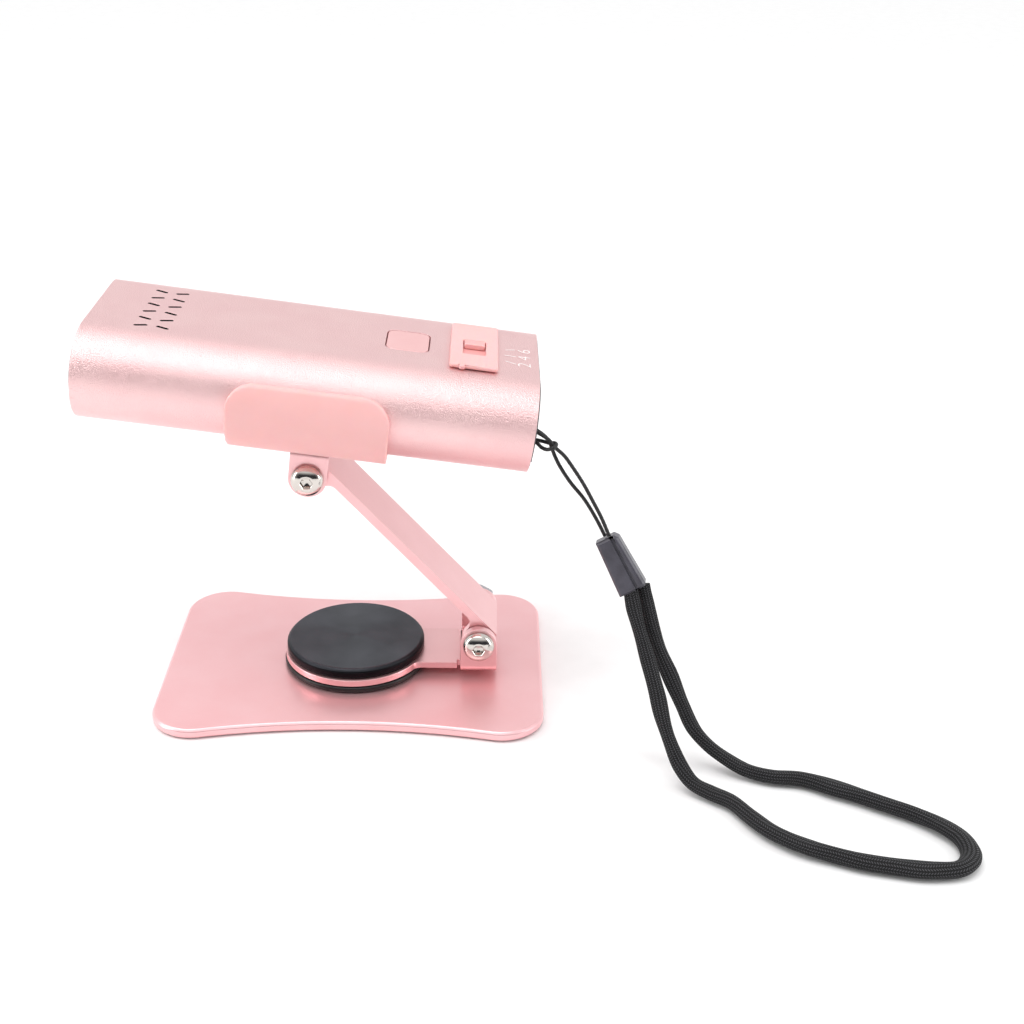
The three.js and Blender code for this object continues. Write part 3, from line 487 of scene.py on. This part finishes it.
def moulded(node):
    """A CAD node with its edges softened all over, as a moulding's are."""
    mesh = frame["nodes"][node].data.copy()
    piece = add_piece(node + "_finished", mesh, BODY_OF[node], SLOT_OF[node])
    remesh = piece.modifiers.new("even_faces", "REMESH")
    remesh.mode = "VOXEL"
    remesh.voxel_size = MOULDING["voxel"]
    soften = piece.modifiers.new("soften", "SMOOTH")
    soften.factor = MOULDING["soften"]
    soften.iterations = MOULDING["passes"]
    bpy.context.view_layer.update()
    shown = piece.evaluated_get(bpy.context.evaluated_depsgraph_get())
    made = bpy.data.meshes.new_from_object(shown)
    made.name = node + "_finished"
    piece.modifiers.clear()
    piece.data = made
    made.materials.clear()
    made.materials.append(FINISHES[SLOT_OF[node]])
    made.shade_smooth()
    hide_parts(node)


def lathe(work, profile, sides, place):
    """Rings of vertices about local Z, one for each (radius, height), joined by quads."""
    angles = [2 * math.pi * k / sides for k in range(sides)]
    rings = []
    for radius, height in profile:
        rings.append([work.verts.new(place @ Vector((radius * math.cos(a), radius * math.sin(a), height)))
                      for a in angles])
    for low, high in zip(rings, rings[1:]):
        for k in range(sides):
            n = (k + 1) % sides
            work.faces.new((low[k], low[n], high[n], high[k]))
    return rings


def prism(work, place, outline, low, high):
    """A closed block with the given outline, as (x, y) pairs counter-clockwise about local Z."""
    bottom = [work.verts.new(place @ Vector((x, y, low))) for x, y in outline]
    top = [work.verts.new(place @ Vector((x, y, high))) for x, y in outline]
    work.faces.new(list(reversed(bottom)))
    work.faces.new(top)
    for k in range(len(outline)):
        n = (k + 1) % len(outline)
        work.faces.new((bottom[k], bottom[n], top[n], top[k]))


# ---------- cords ----------
def smooth_route(points, step):
    """A centripetal Catmull-Rom curve through the points, as points one step apart."""
    points = [Vector(p) for p in points]
    padded = [2 * points[0] - points[1], *points, 2 * points[-1] - points[-2]]
    dense = []
    for a, b, c, d in zip(padded, padded[1:], padded[2:], padded[3:]):
        t1 = (b - a).length ** 0.5
        t2 = t1 + (c - b).length ** 0.5
        t3 = t2 + (d - c).length ** 0.5
        for k in range(SPAN_STEPS):
            t = t1 + (t2 - t1) * k / SPAN_STEPS
            ab = a.lerp(b, t / t1)
            bc = b.lerp(c, (t - t1) / (t2 - t1))
            cd = c.lerp(d, (t - t2) / (t3 - t2))
            abc = ab.lerp(bc, t / t2)
            bcd = bc.lerp(cd, (t - t1) / (t3 - t1))
            dense.append(abc.lerp(bcd, (t - t1) / (t2 - t1)))
    dense.append(points[-1])
    lengths = [0]
    for a, b in zip(dense, dense[1:]):
        lengths.append(lengths[-1] + (b - a).length)
    count = round(lengths[-1] / step)
    even = []
    place = 0
    for k in range(count + 1):
        target = lengths[-1] * k / count
        while place < len(dense) - 2 and lengths[place + 1] < target:
            place += 1
        part = (target - lengths[place]) / max(lengths[place + 1] - lengths[place], 1e-9)
        even.append(dense[place].lerp(dense[place + 1], min(part, 1)))
    return even, lengths[-1]


def run_on(points, extra):
    """The route with both its ends carried straight on by an extra length."""
    first, second = Vector(points[0]), Vector(points[1])
    last, before = Vector(points[-1]), Vector(points[-2])
    start = first + (first - second).normalized() * extra
    end = last + (last - before).normalized() * extra
    return [start, *points, end]


def ease(value, start, end):
    """0 before start, 1 after end, and an even curve between them."""
    part = min(max((value - start) / (end - start), 0), 1)
    return part * part * (3 - 2 * part)


def wave(along, size, length, phase):
    """How far a wave along a cord is from its middle."""
    return size * math.sin(along / length + phase)


def tube(name, path, ring, section, thin_axis, body, slot):
    """A closed tube along a path.

    section(along, angle) gives its half sizes, and thin_axis(along, point) the way its thin side faces.
    """
    work = bmesh.new()
    uv = work.loops.layers.uv.new("along_and_round")
    rings = []
    run = [0]
    for a, b in zip(path, path[1:]):
        run.append(run[-1] + (b - a).length)
    for i, point in enumerate(path):
        tangent = (path[min(i + 1, len(path) - 1)] - path[max(i - 1, 0)]).normalized()
        out = thin_axis(run[i], point)
        out = (out - tangent * out.dot(tangent)).normalized()
        side = tangent.cross(out)
        verts = []
        for k in range(ring):
            angle = 2 * math.pi * k / ring
            wide, thick = section(run[i], angle)
            verts.append(work.verts.new(point + side * (wide * math.cos(angle))
                                        + out * (thick * math.sin(angle))))
        rings.append(verts)
    for i in range(len(rings) - 1):
        for k in range(ring):
            n = (k + 1) % ring
            face = work.faces.new((rings[i][k], rings[i][n], rings[i + 1][n], rings[i + 1][k]))
            corners = ((run[i], k), (run[i], k + 1), (run[i + 1], k + 1), (run[i + 1], k))
            for loop, (along, turn) in zip(face.loops, corners):
                loop[uv].uv = (along, turn / ring)
    work.faces.new(rings[0])
    work.faces.new(rings[-1])
    bmesh.ops.recalc_face_normals(work, faces=work.faces)
    mesh = bpy.data.meshes.new(name)
    work.to_mesh(mesh)
    work.free()
    shade(mesh, 60)
    return add_piece(name, mesh, body, slot)


def parallel_axes(path):
    """A side axis at each point that never twists about the path."""
    axis = Vector((0, 1, 0))
    axes = []
    for i in range(len(path)):
        tangent = (path[min(i + 1, len(path) - 1)] - path[max(i - 1, 0)]).normalized()
        axis = (axis - tangent * axis.dot(tangent)).normalized()
        axes.append(axis)
    return axes


def make_lanyard():
    """The thin cord: out of the lock, through the eyes in a lark's head hitch, and back into it."""
    path, length = smooth_route(run_on(LANYARD_ROUTE, IN_LOCK / 2), LANYARD["step"])
    axes = parallel_axes(path)
    step = length / (len(path) - 1)

    def section(along, angle):
        turn = LANYARD["strands"] * angle + 2 * math.pi * along / LANYARD["twist"]
        radius = LANYARD["diameter"] / 2 * (1 + LANYARD["ripple"] * math.sin(turn))
        return radius, radius

    piece = tube("lanyard", path, LANYARD["ring"], section,
                 lambda along, point: axes[min(round(along / step), len(axes) - 1)],
                 BODY_OF["lanyard_cord"], "cord_black")
    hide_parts("lanyard_cord")


def make_strap():
    """The braided wrist strap: a soft flat tube that hangs from the lock and lies flat on the table."""
    path, length = smooth_route(run_on(STRAP_ROUTE, IN_LOCK), STRAP["step"])
    rest = STRAP["floor"] + STRAP["thick"] * STRAP["lying"] / 2
    lowest = min(p.z for p in path)
    path = [p - Vector((0, 0, (lowest - rest) * (1 - ease(p.z, lowest, STRAP_SETTLES_AT)))) for p in path]

    def thin_axis(along, point):
        sway = Vector((wave(along, *SWAY_ACROSS), 0, wave(along, *SWAY_UP)))
        return STRAP_FACING.lerp(Vector((0, 0, 1)), 1 - ease(point.z, *STRAP_TURNS_AT)) + sway

    def section(along, angle):
        from_end = min(along, length - along)
        near_lock = 1 - (1 - STRAP["pinched"]) * (1 - ease(from_end, *STRAP_LET_OUT))
        lump = 1 + sum(wave(along, *each) for each in LUMPS)
        wale = 1 - STRAP["wale"] * abs(math.cos(WALES / 2 * angle))
        soft = 1 + STRAP["soft"] * math.cos(2 * angle)
        flat = ease(from_end, *STRAP_LIES_FROM)
        lying = 1 + (STRAP["lying"] - 1) * flat
        scale = near_lock * wale * lying
        wide = STRAP["width"] / 2 * scale * lump * (1 + STRAP["spread"] * flat)
        return wide, STRAP["thick"] / 2 * scale * (2 - lump) / soft

    piece = tube("strap", path, STRAP["ring"], section, thin_axis,
                 BODY_OF["wrist_strap"], "strap_fabric")
    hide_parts("wrist_strap")


# ---------- screws ----------
def hexagon_radius(angle, across_flats):
    return across_flats / 2 / math.cos((angle % (math.pi / 3)) - math.pi / 6)


def thread_profile(length):
    """Crests and roots of a screw thread from the tip up, as (radius, height) pairs."""
    radius, pitch = SCREW_THREAD["radius"], SCREW_THREAD["pitch"]
    profile = [(radius - SCREW_THREAD["chamfer"], -length)]
    for k in range(SCREW_THREAD["turns"]):
        at = -length + SCREW_THREAD["tip"] + pitch * k
        profile += [(radius, at + pitch * share) for share in SCREW_THREAD["crest"]]
        profile.append((radius - SCREW_THREAD["depth"], at + pitch * SCREW_THREAD["root"]))
    profile += [(radius, profile[-1][1] + SCREW_THREAD["run_out"]), (radius, 0)]
    return profile


def dome_profile():
    """The head from its seat up to the rim of the socket, as (radius, height) pairs."""
    radius, rise, edge = SCREW_HEAD["radius"], SCREW_HEAD["height"], SCREW_HEAD["edge"]
    flat, chamfer, count = SCREW_HEAD["flat"], SCREW_HEAD["chamfer"], SCREW_HEAD["dome_rings"]
    profile = [(radius - chamfer, 0), (radius, chamfer), (radius, edge)]
    for k in range(1, count + 1):
        r = radius + (flat - radius) * k / count
        bulge = math.sqrt(max(1 - (r / radius) ** 2, 0)) / math.sqrt(1 - (flat / radius) ** 2)
        profile.append((r, edge + (rise - edge) * bulge))
    return profile


def make_hinge_screw(node):
    """Socket button-head screw: smooth dome, hexagon socket with a drill point, and a threaded end."""
    low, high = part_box(node)
    sides, rise = SCREW_HEAD["sides"], SCREW_HEAD["height"]
    # local Z points out of the head, and its 0 is the seat
    place = Matrix.Translation(((low.x + high.x) / 2, low.y + rise, (low.z + high.z) / 2))
    place = place @ Matrix.Rotation(math.pi / 2, 4, "X")
    work = bmesh.new()
    rings = lathe(work, thread_profile(high.y - low.y - rise) + dome_profile(), sides, place)

    def hexagon_ring(inset, height):
        ring = []
        for k in range(sides):
            a = 2 * math.pi * k / sides
            r = hexagon_radius(a, SCREW_HEAD["socket"]) - inset
            ring.append(work.verts.new(place @ Vector((r * math.cos(a), r * math.sin(a), height))))
        return ring

    floor = rise - SCREW_HEAD["depth"]
    corner = SCREW_HEAD["chamfer"] / 2
    inner = [rings[-1], hexagon_ring(-corner, rise), hexagon_ring(0, rise - corner),
             hexagon_ring(0, floor), hexagon_ring(SCREW_HEAD["drill_rim"], floor - corner)]
    for outer_ring, inner_ring in zip(inner, inner[1:]):
        for k in range(sides):
            n = (k + 1) % sides
            work.faces.new((outer_ring[k], outer_ring[n], inner_ring[n], inner_ring[k]))
    tip = work.verts.new(place @ Vector((0, 0, floor - SCREW_HEAD["drill"])))
    for k in range(sides):
        work.faces.new((inner[-1][k], inner[-1][(k + 1) % sides], tip))
    work.faces.new(rings[0])
    bmesh.ops.recalc_face_normals(work, faces=work.faces)
    mesh = bpy.data.meshes.new(node + "_finished")
    work.to_mesh(mesh)
    work.free()
    shade(mesh, 35)
    piece = add_piece(node + "_finished", mesh, BODY_OF[node], SLOT_OF[node])
    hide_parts(node)


# ---------- printed marks ----------
def add_print(name, mesh):
    add_piece(name, mesh, "unit", "body_aluminium", "print_white")


def make_strokes():
    """Three fanned strokes beside the switch, printed on the top face."""
    work = bmesh.new()
    for start, end in STROKES:
        start, end = Vector(start), Vector(end)
        run = (end - start).normalized()
        side = Vector((-run.y, run.x)) * STROKE_HALF_WIDTH
        corners = (start - side, end - side, end + side, start + side)
        outline = [(corner.x * MM, corner.y * MM) for corner in corners]
        prism(work, UNIT, outline, SHELL_TOP + INK, SHELL_TOP + 2 * INK)
    mesh = bpy.data.meshes.new("switch_strokes")
    work.to_mesh(mesh)
    work.free()
    add_print("switch_strokes", mesh)


def make_numbers():
    """The numbers of the switch's steps, printed on the top face and read from the unit's end."""
    turn = Matrix.Rotation(math.pi / 2, 4, "Z") @ Matrix.Diagonal((NUMBER["wider"], 1, 1, 1))
    for digit, (x, y) in NUMBERS.items():
        curve = bpy.data.curves.new("digit", "FONT")
        curve.body = digit
        curve.align_x = "CENTER"
        curve.align_y = "CENTER"
        curve.size = NUMBER["size"]
        curve.extrude = INK / 2
        curve.offset = -NUMBER["thinner"]
        letter = bpy.data.objects.new("digit", curve)
        bpy.context.scene.collection.objects.link(letter)
        bpy.context.view_layer.update()
        mesh = bpy.data.meshes.new_from_object(letter)
        bpy.data.objects.remove(letter)
        mesh.transform(UNIT @ Matrix.Translation((x * MM, y * MM, SHELL_TOP + INK * 1.5)) @ turn)
        add_print("switch_number_" + digit, mesh)


# ---------- vent shade ribs and the switch shutter ---
def rounded_block(work, place, width, depth, radius, low, high):
    """A block with round corners about local Z, in the given place."""
    outline = []
    for cx, cy, start in ((1, 1, 0), (-1, 1, 1), (-1, -1, 2), (1, -1, 3)):
        for k in range(CORNER_STEPS + 1):
            angle = math.pi / 2 * (start + k / CORNER_STEPS)
            outline.append((cx * (width / 2 - radius) + radius * math.cos(angle),
                            cy * (depth / 2 - radius) + radius * math.sin(angle)))
    prism(work, place, outline, low, high)


def finish_block(work, name, body, slot, material=None):
    mesh = bpy.data.meshes.new(name)
    work.to_mesh(mesh)
    work.free()
    shade(mesh)
    add_piece(name, mesh, body, slot, material)


def make_vent_shade_ribs():
    """Near-black ribs in the vents, one standing in each slot just below the top face: painted shade of
    the vent holes.
    """
    work = bmesh.new()
    width, depth = VENTS["length"] - SHADE_RIB["play"], VENTS["width"] - SHADE_RIB["play"]
    low, high = SHELL_TOP - SHADE_RIB["height"], SHELL_TOP - SHADE_RIB["below"]
    for column, x in enumerate(VENTS["columns"]):
        for row in range(VENTS["rows"]):
            y = (row - (VENTS["rows"] - 1) / 2) * VENTS["pitch"]
            turn = VENTS["turn"] * (-1 if (row + column) % 2 else 1)
            place = UNIT @ Matrix.Translation((x, y, 0)) @ Matrix.Rotation(turn, 4, "Z")
            rounded_block(work, place, width, depth, depth / 2 - SHADE_RIB["end_flat"], low, high)
    finish_block(work, "vent_shade_ribs", "unit", "inner_plastic", "vent_painted_shade")


def make_switch_shutter():
    """The thin slide under the switch bezel that closes the window round the knob."""
    low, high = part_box("switch_knob")
    knob = UNIT.inverted() @ ((low + high) / 2)
    work = bmesh.new()
    place = UNIT @ Matrix.Translation((knob.x, knob.y, 0))
    under, over = SHELL_TOP + SHUTTER["low"], SHELL_TOP + SHUTTER["high"]
    rounded_block(work, place, SHUTTER["width"], SHUTTER["length"], SHUTTER["corner"], under, over)
    # The slide wears the darker copy of the control plastic: painted shade in the window.
    finish_block(work, "switch_shutter", "slider", "control_plastic", "shutter_painted_shade")


# ---------- stage ----------
def make_floor():
    work = bmesh.new()
    bmesh.ops.create_grid(work, x_segments=1, y_segments=1, size=FLOOR_HALF_SIZE)
    mesh = bpy.data.meshes.new("floor")
    work.to_mesh(mesh)
    work.free()
    floor = bpy.data.objects.new("floor", mesh)
    bpy.context.scene.collection.objects.link(floor)
    paper = grained("floor_paper", (0.9, 0.9, 0.9, 1), (0.93, 0.93, 0.93, 1), 0.8, 900, 0.00002)
    mesh.materials.append(paper.material)


def make_softbox(name, at, towards, size, power):
    data = bpy.data.lights.new(name, "AREA")
    data.shape = "RECTANGLE"
    data.size, data.size_y = size
    data.energy = power
    light = bpy.data.objects.new(name, data)
    light.location = at
    light.rotation_euler = (Vector(towards) - Vector(at)).to_track_quat("-Z", "Y").to_euler()
    bpy.context.scene.collection.objects.link(light)


def make_overhead():
    data = bpy.data.lights.new("overhead", "SUN")
    data.angle = OVERHEAD["angle"]
    data.energy = OVERHEAD["power"]
    light = bpy.data.objects.new("overhead", data)
    light.rotation_euler = OVERHEAD["shines"].to_track_quat("-Z", "Y").to_euler()
    bpy.context.scene.collection.objects.link(light)


def make_room():
    """A white studio. Metal sees its lower front wall as grey, so that it has something to show."""
    world = bpy.data.worlds.new("studio")
    bpy.context.scene.world = world
    world.use_nodes = True
    tree = world.node_tree
    background = tree.nodes["Background"]
    direction = tree.nodes.new("ShaderNodeSeparateXYZ")
    tree.links.new(tree.nodes.new("ShaderNodeTexCoord").outputs["Generated"], direction.inputs[0])

    def fade(axis, full, none):
        made = tree.nodes.new("ShaderNodeMapRange")
        made.interpolation_type = "SMOOTHSTEP"
        for key, value in {"From Min": full, "From Max": none, "To Min": 1, "To Max": 0}.items():
            made.inputs[key].default_value = value
        tree.links.new(direction.outputs[axis], made.inputs["Value"])
        return made.outputs["Result"]

    both = tree.nodes.new("ShaderNodeMath")
    both.operation = "MULTIPLY"
    tree.links.new(fade("Y", *GREY_IN_FRONT), both.inputs[0])
    tree.links.new(fade("Z", *GREY_BELOW), both.inputs[1])
    ramp = tree.nodes.new("ShaderNodeValToRGB")
    ramp.color_ramp.elements[0].color = ROOM_WHITE
    ramp.color_ramp.elements[1].color = ROOM_GREY
    tree.links.new(both.outputs[0], ramp.inputs["Fac"])
    seen = tree.nodes.new("ShaderNodeMix")
    seen.data_type = "RGBA"
    rays = tree.nodes.new("ShaderNodeLightPath")
    tree.links.new(rays.outputs["Is Camera Ray"], seen.inputs["Factor"])
    tree.links.new(ramp.outputs["Color"], seen.inputs["A"])
    seen.inputs["B"].default_value = (1, 1, 1, 1)
    tree.links.new(seen.outputs["Result"], background.inputs["Color"])
    background.inputs["Strength"].default_value = 1.0
    for light in SOFTBOXES:
        make_softbox(**light)
    make_overhead()
    bpy.context.scene.view_settings.view_transform = "Standard"


# ---------- the whole object ----------
# How far each piece's corners are rounded. The pieces that aren't named are rounded slightly.
ROUNDED = {
    "base_plate": 0.0002, "swivel_bracket": 0.0002, "arm_link": 0.0002, "upper_bracket": 0.0002,
    "body_shell": 0.00012, "left_end_cap": 0.00015, "right_end_cap": 0.00015,
    "power_button": 0.00025, "switch_bezel": 0.00015, "switch_knob": 0.00012, "strap_lock": 0.00018,
    "intake_cover": 0.00015, "lower_hinge_nut": 0.0002, "upper_hinge_nut": 0.0002,
    "swivel_top_disc": 0.00025, "swivel_lower_disc": 0.0002, "base_pad": 0.0002,
}
# Folded sheets, whose rounding is held back where corners come close together.
FOLDED = ("arm_link", "upper_bracket")
HINGE_SCREWS = ("lower_hinge_screw", "upper_hinge_screw")
MOULDED = ("cradle",)
CORD_NODES = ("lanyard_cord", "wrist_strap")

make_camera()
for node in sorted(frame["nodes"]):
    if node in HINGE_SCREWS:
        make_hinge_screw(node)
    elif node in MOULDED:
        moulded(node)
    elif node not in CORD_NODES:
        refined(node, ROUNDED.get(node, ROUNDING["slight"]), node in FOLDED)
make_lanyard()
make_strap()
make_vent_shade_ribs()
make_switch_shutter()
make_strokes()
make_numbers()
make_floor()
make_room()
